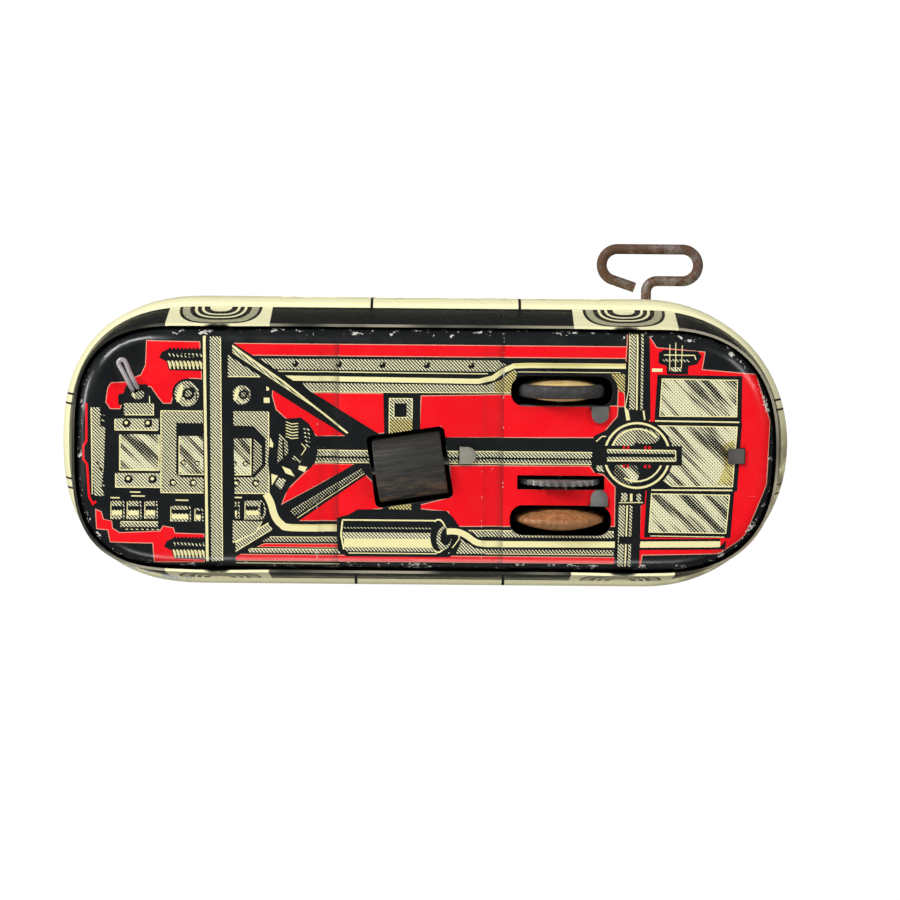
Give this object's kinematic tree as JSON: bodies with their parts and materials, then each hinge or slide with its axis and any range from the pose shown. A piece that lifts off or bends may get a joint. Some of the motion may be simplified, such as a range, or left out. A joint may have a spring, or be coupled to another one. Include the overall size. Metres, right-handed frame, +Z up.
{
  "type": "wind-up tin toy car",
  "caption": "Pressed tin toy car with a clockwork motor, winding key, two drive wheels, a crosswise wooden roller and a split-pin nose skid.",
  "frame": {"origin": "centre of the bounding box at the floor, with the wheels and the nose skid standing on the floor", "axes": "+X towards the car's nose, +Y towards the car's left side where the key is, +Z up"},
  "size_m": [0.1142, 0.054, 0.046],
  "materials": {
    "red_enamel": "red, black and cream printed enamel with halftone shading, worn at the edge",
    "cream_enamel": "cream printed enamel, glossy, black along the skirt",
    "bare_tin": "dull bare tinplate",
    "spring_steel": "dark steel",
    "brown_steel": "steel wire browned with rust",
    "brass": "dull brass",
    "pale_wood": "plain turned wood",
    "brown_wood": "brown stained turned wood",
    "black_wood": "black painted wood, worn",
    "rubber": "hard matt rubber"
  },
  "bodies": {
    "car": {"base_pan": "red_enamel", "body_shell": "cream_enamel", "rear_body_lug": "bare_tin", "left_motor_plate": "bare_tin", "right_motor_plate": "bare_tin", "front_strap": "bare_tin", "spring_pillar": "spring_steel", "rear_pillar": "spring_steel", "front_pillar": "spring_steel", "mainspring": "spring_steel", "roller_pin": "spring_steel", "skid_pin": "bare_tin"},
    "key": {"winding_key": "brown_steel", "ratchet_wheel": "spring_steel"},
    "great_wheel": {"great_gear": "brass", "click_rivet": "spring_steel"},
    "ratchet_click": {"click": "spring_steel"},
    "intermediate_wheel": {"intermediate_arbor": "spring_steel", "intermediate_pinion": "spring_steel", "intermediate_gear": "brass"},
    "drive_wheels": {"rear_axle": "spring_steel", "left_wheel": "pale_wood", "tyre": "rubber", "right_wheel": "brown_wood", "axle_gear": "spring_steel", "axle_pinion": "spring_steel"},
    "escape_wheel_set": {"escape_arbor": "spring_steel", "escape_pinion": "spring_steel", "escape_wheel": "brass"},
    "verge_set": {"verge": "brass", "verge_arbor": "spring_steel"},
    "roller": {"cross_roller": "black_wood"}
  },
  "joints": [
    {"name": "axle_spin", "type": "hinge", "parent": "car", "child": "drive_wheels", "pos_m": [-0.02095, -0.0043, 0.007], "axis": [0, 1, 0], "continuous": true},
    {"name": "intermediate_spin", "type": "hinge", "parent": "car", "child": "intermediate_wheel", "pos_m": [-0.02543, -0.0043, 0.01363], "axis": [0, 1, 0], "continuous": true},
    {"name": "great_gear_spin", "type": "hinge", "parent": "car", "child": "great_wheel", "pos_m": [-0.03465, -0.0043, 0.0205], "axis": [0, 1, 0], "continuous": true},
    {"name": "escape_spin", "type": "hinge", "parent": "car", "child": "escape_wheel_set", "pos_m": [-0.01406, -0.0043, 0.01021], "axis": [0, 1, 0], "continuous": true},
    {"name": "key_wind", "type": "hinge", "parent": "car", "child": "key", "pos_m": [-0.03465, -0.0043, 0.0205], "axis": [0, 1, 0], "continuous": true},
    {"name": "click_lift", "type": "hinge", "parent": "great_wheel", "child": "ratchet_click", "pos_m": [-0.02835, -0.0043, 0.0205], "axis": [0, 1, 0], "range_deg": [0, 12], "stiffness_Nm_per_rad": 0.0001},
    {"name": "verge_rock", "type": "hinge", "parent": "car", "child": "verge_set", "pos_m": [-0.0088, -0.0043, 0.01213], "axis": [0, 1, 0], "range_deg": [-4, 4]},
    {"name": "roller_spin", "type": "hinge", "parent": "car", "child": "roller", "pos_m": [0.00225, -0.0069, 0.00575], "axis": [0.989, -0.1478, 0], "continuous": true}
  ],
  "couplings": [
    {"joint": "intermediate_spin", "follows": "axle_spin", "ratio": -0.42857},
    {"joint": "great_gear_spin", "follows": "axle_spin", "ratio": 0.11905},
    {"joint": "escape_spin", "follows": "axle_spin", "ratio": -3.75}
  ]
}
